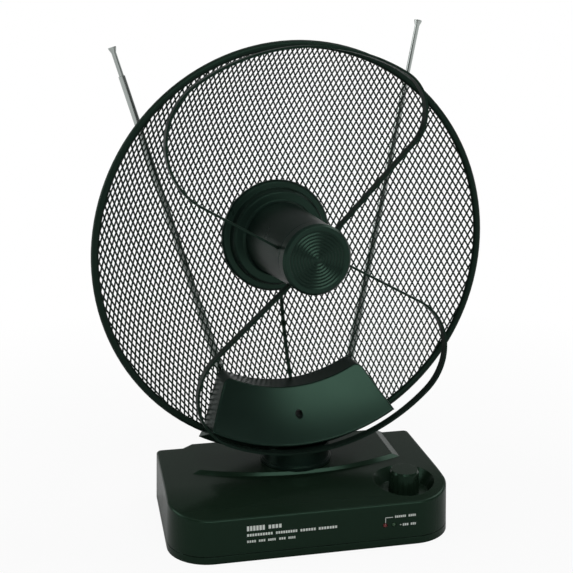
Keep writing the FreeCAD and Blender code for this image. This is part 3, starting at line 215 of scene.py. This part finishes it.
def noise(tree, scale, detail):
    """Output of a noise that keeps to the piece."""
    place = tree.nodes.new("ShaderNodeTexCoord")
    node = tree.nodes.new("ShaderNodeTexNoise")
    node.inputs["Scale"].default_value = scale
    node.inputs["Detail"].default_value = detail
    tree.links.new(place.outputs["Object"], node.inputs["Vector"])
    return node.outputs["Fac"]


def ramp(tree, value, from_low, from_high, to_low, to_high):
    """Output of a value that is mapped from one range to another."""
    node = tree.nodes.new("ShaderNodeMapRange")
    node.inputs["From Min"].default_value = from_low
    node.inputs["From Max"].default_value = from_high
    node.inputs["To Min"].default_value = to_low
    node.inputs["To Max"].default_value = to_high
    tree.links.new(value, node.inputs["Value"])
    return node.outputs["Result"]


def moulded(name, colour, roughness, grain_mm, grain_depth, specular, edge_mm):
    """Moulded plastic or paint: fine grain, slow changes of sheen and softened edges."""
    material, tree, shader = new_material(name)
    shader.inputs["Base Color"].default_value = (*colour, 1)
    shader.inputs["Specular IOR Level"].default_value = specular
    shader.inputs["Specular Tint"].default_value = (*SHEEN_TINT, 1)
    edge = tree.nodes.new("ShaderNodeBevel")
    edge.samples = EDGE_SAMPLES
    edge.inputs["Radius"].default_value = edge_mm * MM
    bump = tree.nodes.new("ShaderNodeBump")
    bump.inputs["Strength"].default_value = grain_depth
    bump.inputs["Distance"].default_value = GRAIN_HEIGHT * MM
    grain = noise(tree, 1 / (grain_mm * MM), GRAIN_DETAIL)
    tree.links.new(grain, bump.inputs["Height"])
    tree.links.new(edge.outputs["Normal"], bump.inputs["Normal"])
    tree.links.new(bump.outputs["Normal"], shader.inputs["Normal"])
    wear = noise(tree, WEAR_SCALE, WEAR_DETAIL)
    sheen = ramp(tree, wear, 0, 1, roughness - SHEEN_CHANGE, roughness + SHEEN_CHANGE)
    tree.links.new(sheen, shader.inputs["Roughness"])
    return material


def metal(name, colour, roughness):
    """Plated or bare metal with faint streaks."""
    material, tree, shader = new_material(name)
    shader.inputs["Base Color"].default_value = (*colour, 1)
    shader.inputs["Metallic"].default_value = 1
    streak = noise(tree, 1 / (STREAK_SIZE * MM), STREAK_DETAIL)
    low = roughness * (1 - STREAK_CHANGE)
    high = roughness * (1 + STREAK_CHANGE)
    tree.links.new(ramp(tree, streak, 0, 1, low, high), shader.inputs["Roughness"])
    return material


def lens(name, colour, glow):
    """Tinted lamp lens, clear enough to look deep."""
    material, _, shader = new_material(name)
    shader.inputs["Base Color"].default_value = (*colour, 1)
    shader.inputs["Roughness"].default_value = LENS_ROUGHNESS
    shader.inputs["Transmission Weight"].default_value = LENS_CLEARNESS
    shader.inputs["Emission Color"].default_value = (*colour, 1)
    shader.inputs["Emission Strength"].default_value = glow
    return material


def laminate(name, colour):
    """Board laminate with a faint weave."""
    material, tree, shader = new_material(name)
    place = tree.nodes.new("ShaderNodeTexCoord")
    weave = tree.nodes.new("ShaderNodeTexChecker")
    weave.inputs["Scale"].default_value = 1 / (WEAVE_SIZE * MM)
    weave.inputs["Color1"].default_value = (*colour, 1)
    weave.inputs["Color2"].default_value = (*(WEAVE_SHADE * part for part in colour), 1)
    tree.links.new(place.outputs["Object"], weave.inputs["Vector"])
    tree.links.new(weave.outputs["Color"], shader.inputs["Base Color"])
    shader.inputs["Roughness"].default_value = BOARD_ROUGHNESS
    return material


def print_ink(name):
    material, _, shader = new_material(name)
    shader.inputs["Base Color"].default_value = (*INK_COLOUR, 1)
    shader.inputs["Roughness"].default_value = INK_ROUGHNESS
    return material


MATERIALS = {slot: moulded(slot, *look) for slot, look in MOULDED_SLOTS.items()}
MATERIALS.update({slot: metal(slot, *look) for slot, look in METAL_SLOTS.items()})
MATERIALS.update({slot: lens(slot, *look) for slot, look in LENS_SLOTS.items()})
MATERIALS["board"] = laminate("board", BOARD_COLOUR)

for part in frame["record"]["subparts"]:
    node = frame["nodes"][part["node"]]
    node.data.materials.clear()
    node.data.materials.append(MATERIALS[part["material_slot"]])


def add_piece(name, vertices, faces, body, material, smooth=False):
    """New mesh piece that rides on a body and counts to a slot."""
    mesh = bpy.data.meshes.new(name)
    mesh.from_pydata(vertices, [], faces)
    mesh.polygons.foreach_set("use_smooth", [smooth] * len(mesh.polygons))
    mesh.update()
    mesh.materials.append(material)
    piece = bpy.data.objects.new(name, mesh)
    scene.collection.objects.link(piece)
    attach(piece, body)
    return piece


# Fine expanded metal of the reflector

def dish_point(x, y, z):
    """Point of the reflector's frame (right, up, towards the viewer, in mm) as a place in the model."""
    return RIM_CENTRE + (RIGHT * x + UP * y + NORMAL * z) * MM


def sheet_place(column, row):
    """Right and up position of a lattice point, columns and rows drawn together towards the rim."""
    flat_x = column * CELL_W
    flat_y = row * CELL_H
    x = flat_x
    y = flat_y
    for _ in range(DRAW_IN_STEPS):
        side = (x / DRAW_IN_UNIT) ** 2
        height = (y / DRAW_IN_UNIT) ** 2
        x = (flat_x - COLUMN_LEAN * y) / (1 + DRAW_IN_SIDE * side + DRAW_IN_ENDS * height)
        y = (flat_y + ROW_LEAN * x) / (1 + DRAW_IN_ROWS * height)
    return x, y


def on_sheet(x, y, lift):
    """Point of the dished sheet, lifted along the sheet's own normal and kept inside the rim's tube."""
    radius = math.hypot(x, y)
    if radius > MESH_OUTER_R:
        x = x * MESH_OUTER_R / radius
        y = y * MESH_OUTER_R / radius
    centre_z = SPHERE_R - DISH_DEPTH
    z = centre_z - math.sqrt(SPHERE_R ** 2 - x ** 2 - y ** 2)
    inward = Vector((-x, -y, centre_z - z)) / SPHERE_R
    return dish_point(x + inward.x * lift, y + inward.y * lift, z + inward.z * lift)


def is_cut_out(x, y):
    """Whether a diamond falls outside the rim, under the nose or on the cover's screw."""
    past_rim = math.hypot(x, y) > MESH_OUTER_R
    under_nose = math.hypot(x, y - NOSE_RISE) < MESH_INNER_R
    near_screw = math.hypot(x, y - COVER_SCREW_Y) < SCREW_CLEAR_R
    return past_rim or under_nose or near_screw


def build_mesh_sheet():
    """Strands round every diamond hole, thickest along the middle of the strand."""
    vertices = []
    faces = []
    crossings = {}

    def crossing(column, row):
        key = (round(2 * column), round(2 * row))
        if key not in crossings:
            x, y = sheet_place(column, row)
            crossings[key] = len(vertices)
            vertices.append(on_sheet(x, y, STRAND_T / 2))
            vertices.append(on_sheet(x, y, -STRAND_T / 2))
        return crossings[key]

    for row_index in range(-2 * ROWS, 2 * ROWS + 1):
        row = row_index / 2
        for column_index in range(-COLUMNS, COLUMNS + 1):
            column = column_index + (row_index % 2) / 2
            if is_cut_out(*sheet_place(column, row)):
                continue
            outer = [crossing(column + across, row + along) for across, along in DIAMOND]
            inner = []
            for across, along in DIAMOND:
                hole_x, hole_y = sheet_place(column + HOLE_SHARE * across, row + HOLE_SHARE * along)
                inner.append(len(vertices))
                vertices.append(on_sheet(hole_x, hole_y, STRAND_EDGE_T / 2))
                vertices.append(on_sheet(hole_x, hole_y, -STRAND_EDGE_T / 2))
            for side in range(4):
                after = (side + 1) % 4
                faces.append((outer[side], outer[after], inner[after], inner[side]))
                faces.append((outer[after] + 1, outer[side] + 1, inner[side] + 1, inner[after] + 1))
                faces.append((inner[side], inner[after], inner[after] + 1, inner[side] + 1))
    material = MATERIALS["mesh_paint"]
    sheet = add_piece("fine_mesh", vertices, faces, "reflector_head", material, smooth=True)
    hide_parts("reflector_mesh")


# Upper rod sections, as wide as the photograph shows them: thin walls, so each still slides in the
# one below

def section_line(node, axis):
    """Middle line of a rod section, with its lowest and highest point along the line."""
    across = axis.orthogonal().normalized()
    other = axis.cross(across)
    points = [vertex.co for vertex in frame["nodes"][node].data.vertices]
    foot = Vector((0, 0, 0))
    for direction in (across, other):
        reaches = [point.dot(direction) for point in points]
        foot += direction * (min(reaches) + max(reaches)) / 2
    heights = [point.dot(axis) for point in points]
    return foot, across, other, min(heights), max(heights)


def turned_section(node, axis, profile, hollow):
    """Rod section turned from a profile of (radius in mm, height along the rod in metres)."""
    foot, across, other, low, high = section_line(node, axis)
    rings = profile(low, high)
    vertices = []
    for radius, height in rings:
        for step in range(ROD_SIDES):
            angle = 2 * math.pi * step / ROD_SIDES
            outward = across * math.cos(angle) + other * math.sin(angle)
            vertices.append(foot + axis * height + outward * radius * MM)
    faces = []
    for index in range(len(rings) if hollow else len(rings) - 1):
        after = (index + 1) % len(rings)
        for step in range(ROD_SIDES):
            beside = (step + 1) % ROD_SIDES
            corners = (index * ROD_SIDES + step, index * ROD_SIDES + beside)
            faces.append(corners + (after * ROD_SIDES + beside, after * ROD_SIDES + step))
    if not hollow:
        faces.append(tuple(reversed(range(ROD_SIDES))))
        faces.append(tuple(range((len(rings) - 1) * ROD_SIDES, len(rings) * ROD_SIDES)))
    material = MATERIALS["rod_chrome"]
    piece = add_piece(node + "_wide", vertices, faces, node + "_body", material, smooth=True)
    piece.data.set_sharp_from_angle(angle=ROD_SHARP_ANGLE)
    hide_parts(node)


def tube_profile(outer_r, inner_r):
    """Profile of an open tube between the lowest and highest point of its section."""
    def profile(low, high):
        return [(outer_r, low), (outer_r, high), (inner_r, high), (inner_r, low)]
    return profile


def tip_profile(low, high):
    """Profile of the thin last section with its flared end."""
    flare = high - TIP_FLARE_H * MM
    rim = high - TIP_RIM_H * MM
    return [(ROD_TIP_R, low), (ROD_TIP_R, flare), (TIP_FLARE_R, rim), (TIP_FLARE_R, high)]


def build_rods():
    for side in ("left", "right"):
        axis = Vector(JOINTS[side + "_rod_tip_slide"]["axis"]).normalized()
        for name, outer_r, inner_r in ROD_TUBES:
            turned_section(side + "_" + name, axis, tube_profile(outer_r, inner_r), True)
        turned_section(side + "_rod_tip", axis, tip_profile, False)


# Generic print on the base's front: small pale bars in place of words

def front_face_y(z):
    return -BASE_DEPTH / 2 + SIDE_DRAFT * z / SHOULDER_Z


def print_bar(vertices, faces, left, right, low, high):
    """Thin film on the sloping front face."""
    first = len(vertices)
    for film in (0, PRINT_FILM):
        for x, z in ((left, low), (right, low), (right, high), (left, high)):
            vertices.append(Vector((x, front_face_y(z) - film, z)) * MM)
    sides = ((0, 1, 5, 4), (1, 2, 6, 5), (2, 3, 7, 6), (3, 0, 4, 7), (4, 5, 6, 7), (3, 2, 1, 0))
    faces.extend(tuple(first + corner for corner in side) for side in sides)


def print_word(vertices, faces, left, right, bars, low, high):
    """Row of short bars between two ends."""
    step = (right - left) / bars
    for index in range(bars):
        start = left + index * step
        print_bar(vertices, faces, start, start + BAR_SHARE * step, low, high)


def build_print():
    vertices = []
    faces = []
    for word in PRINT_WORDS:
        print_word(vertices, faces, *word)
    for line in LEADER:
        print_bar(vertices, faces, *line)
    add_piece("front_print", vertices, faces, "base", print_ink("print_ink"))


# Studio: pale floor, white surroundings, four soft white lights

def combined(tree, operation, first, second):
    """Output of a math operation on two outputs."""
    node = tree.nodes.new("ShaderNodeMath")
    node.operation = operation
    tree.links.new(first, node.inputs[0])
    tree.links.new(second, node.inputs[1])
    return node.outputs["Value"]


def seen_share(tree, mirror_share):
    """1 for rays from the camera, and a share for rays from a mirroring or clear surface."""
    path = tree.nodes.new("ShaderNodeLightPath").outputs
    mirrored = combined(tree, "MAXIMUM", path["Is Glossy Ray"], path["Is Transmission Ray"])
    mirrored = combined(tree, "MULTIPLY", mirrored, mirror_share)
    return combined(tree, "MAXIMUM", path["Is Camera Ray"], mirrored)


def mixed(tree, share, first, second, socket):
    """Shader that goes over from the first to the second, led to an output."""
    mix = tree.nodes.new("ShaderNodeMixShader")
    tree.links.new(share, mix.inputs["Fac"])
    tree.links.new(first, mix.inputs[1])
    tree.links.new(second, mix.inputs[2])
    tree.links.new(mix.outputs["Shader"], socket)


def build_floor():
    """Floor that looks white but for a faint shadow, and mirrors as white away from the object."""
    mesh = bpy.data.meshes.new("floor")
    reach = FLOOR_HALF
    corners = [(-reach, -reach, 0), (reach, -reach, 0), (reach, reach, 0), (-reach, reach, 0)]
    mesh.from_pydata(corners, [], [(0, 1, 2, 3)])
    floor = bpy.data.objects.new("floor", mesh)
    scene.collection.objects.link(floor)
    material, tree, shader = new_material("floor_pale")
    shader.inputs["Base Color"].default_value = (*FLOOR_COLOUR, 1)
    shader.inputs["Roughness"].default_value = FLOOR_ROUGHNESS
    shader.inputs["Specular IOR Level"].default_value = 0
    white = tree.nodes.new("ShaderNodeEmission")
    white.inputs["Color"].default_value = (*WHITE, 1)
    place = tree.nodes.new("ShaderNodeNewGeometry")
    length = tree.nodes.new("ShaderNodeVectorMath")
    length.operation = "LENGTH"
    tree.links.new(place.outputs["Position"], length.inputs[0])
    distance = length.outputs["Value"]
    seen = seen_share(tree, ramp(tree, distance, *FLOOR_MIRROR_RAMP))
    share = combined(tree, "MULTIPLY", seen, ramp(tree, distance, *FLOOR_WHITE_RAMP))
    socket = tree.nodes["Material Output"].inputs["Surface"]
    mixed(tree, share, shader.outputs["BSDF"], white.outputs["Emission"], socket)
    mesh.materials.append(material)


def build_world():
    """White to the camera, and in a mirror up to just above the horizon; a dim room gives light."""
    world = bpy.data.worlds.new("studio")
    world.use_nodes = True
    scene.world = world
    tree = world.node_tree
    nodes = tree.nodes
    room = nodes["Background"]
    room.inputs["Color"].default_value = (*WHITE, 1)
    backdrop = nodes.new("ShaderNodeBackground")
    backdrop.inputs["Color"].default_value = (*WHITE, 1)
    direction = nodes.new("ShaderNodeTexCoord").outputs["Generated"]
    facing = nodes.new("ShaderNodeVectorMath")
    facing.operation = "DOT_PRODUCT"
    facing.inputs[1].default_value = BACKDROP_SIDE
    tree.links.new(direction, facing.inputs[0])
    tree.links.new(ramp(tree, facing.outputs["Value"], *ROOM_RAMP), room.inputs["Strength"])
    height = nodes.new("ShaderNodeSeparateXYZ")
    tree.links.new(direction, height.inputs["Vector"])
    share = seen_share(tree, ramp(tree, height.outputs["Z"], *HORIZON_RAMP))
    socket = nodes["World Output"].inputs["Surface"]
    mixed(tree, share, room.outputs["Background"], backdrop.outputs["Background"], socket)


def build_lights():
    for name, place, width, height, watts in LIGHTS:
        light = bpy.data.lights.new(name, "AREA")
        light.shape = "RECTANGLE"
        light.size = width
        light.size_y = height
        light.energy = watts
        lamp = bpy.data.objects.new(name, light)
        lamp.location = place
        lamp.rotation_euler = (LIGHT_AIM - Vector(place)).to_track_quat("-Z", "Y").to_euler()
        scene.collection.objects.link(lamp)


def build_camera():
    level = math.cos(CAMERA_PITCH)
    right = Vector((math.cos(CAMERA_AZIMUTH), math.sin(CAMERA_AZIMUTH), 0))
    back = Vector((right.y * level, -right.x * level, math.sin(CAMERA_PITCH)))
    data = bpy.data.cameras.new("camera")
    data.sensor_fit = "HORIZONTAL"
    data.sensor_width = SENSOR_WIDTH
    data.lens = CAMERA_LENS
    camera = bpy.data.objects.new("camera", data)
    turn = Matrix((right, back.cross(right), back)).transposed().to_4x4()
    camera.matrix_world = Matrix.Translation(CAMERA_PLACE) @ turn
    scene.collection.objects.link(camera)
    scene.camera = camera


build_mesh_sheet()
build_rods()
build_print()
build_floor()
build_world()
build_lights()
build_camera()

scene.view_settings.view_transform = "Standard"
